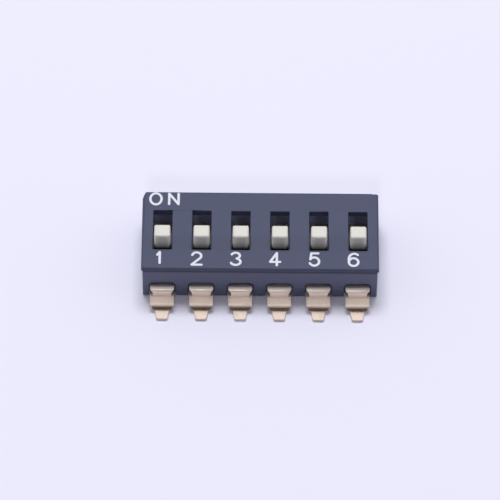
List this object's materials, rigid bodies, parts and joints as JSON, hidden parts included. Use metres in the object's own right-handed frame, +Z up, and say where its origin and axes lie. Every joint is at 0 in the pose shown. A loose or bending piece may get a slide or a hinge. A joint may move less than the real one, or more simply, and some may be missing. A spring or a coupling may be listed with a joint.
{
  "type": "dip switch",
  "caption": "Slide DIP switch for surface mounting: a row of knobs in a windowed dark housing, with gull-wing leads along both sides.",
  "frame": {"origin": "middle of the switch at board level, between the two rows of feet", "axes": "+X along the row from the first position to the last, +Y from OFF to ON, +Z up away from the board"},
  "size_m": [0.0154, 0.01, 0.0041],
  "materials": {
    "cover": "moulded, dark blue-grey, satin, with white print",
    "base": "moulded, dark blue-grey, satin",
    "slider": "moulded, off-white, satin",
    "contact_spring": "phosphor bronze strip, plated noses",
    "terminal": "copper alloy strip, gold plated, satin"
  },
  "bodies": {
    "housing": {"cover": "cover", "base": "base", "terminal_1": "terminal", "terminal_2": "terminal", "terminal_3": "terminal", "terminal_4": "terminal", "terminal_5": "terminal", "terminal_6": "terminal", "terminal_7": "terminal", "terminal_8": "terminal", "terminal_9": "terminal", "terminal_10": "terminal", "terminal_11": "terminal", "terminal_12": "terminal"},
    "slider_1": {"slider_1": "slider", "contact_spring_1": "contact_spring"},
    "slider_2": {"slider_2": "slider", "contact_spring_2": "contact_spring"},
    "slider_3": {"slider_3": "slider", "contact_spring_3": "contact_spring"},
    "slider_4": {"slider_4": "slider", "contact_spring_4": "contact_spring"},
    "slider_5": {"slider_5": "slider", "contact_spring_5": "contact_spring"},
    "slider_6": {"slider_6": "slider", "contact_spring_6": "contact_spring"}
  },
  "joints": [
    {"name": "slide_1", "type": "slide", "parent": "housing", "child": "slider_1", "axis": [0, 1, 0], "range_m": [0, 0.00143]},
    {"name": "slide_2", "type": "slide", "parent": "housing", "child": "slider_2", "axis": [0, 1, 0], "range_m": [0, 0.00143]},
    {"name": "slide_3", "type": "slide", "parent": "housing", "child": "slider_3", "axis": [0, 1, 0], "range_m": [0, 0.00143]},
    {"name": "slide_4", "type": "slide", "parent": "housing", "child": "slider_4", "axis": [0, 1, 0], "range_m": [0, 0.00143]},
    {"name": "slide_5", "type": "slide", "parent": "housing", "child": "slider_5", "axis": [0, 1, 0], "range_m": [0, 0.00143]},
    {"name": "slide_6", "type": "slide", "parent": "housing", "child": "slider_6", "axis": [0, 1, 0], "range_m": [0, 0.00143]}
  ]
}
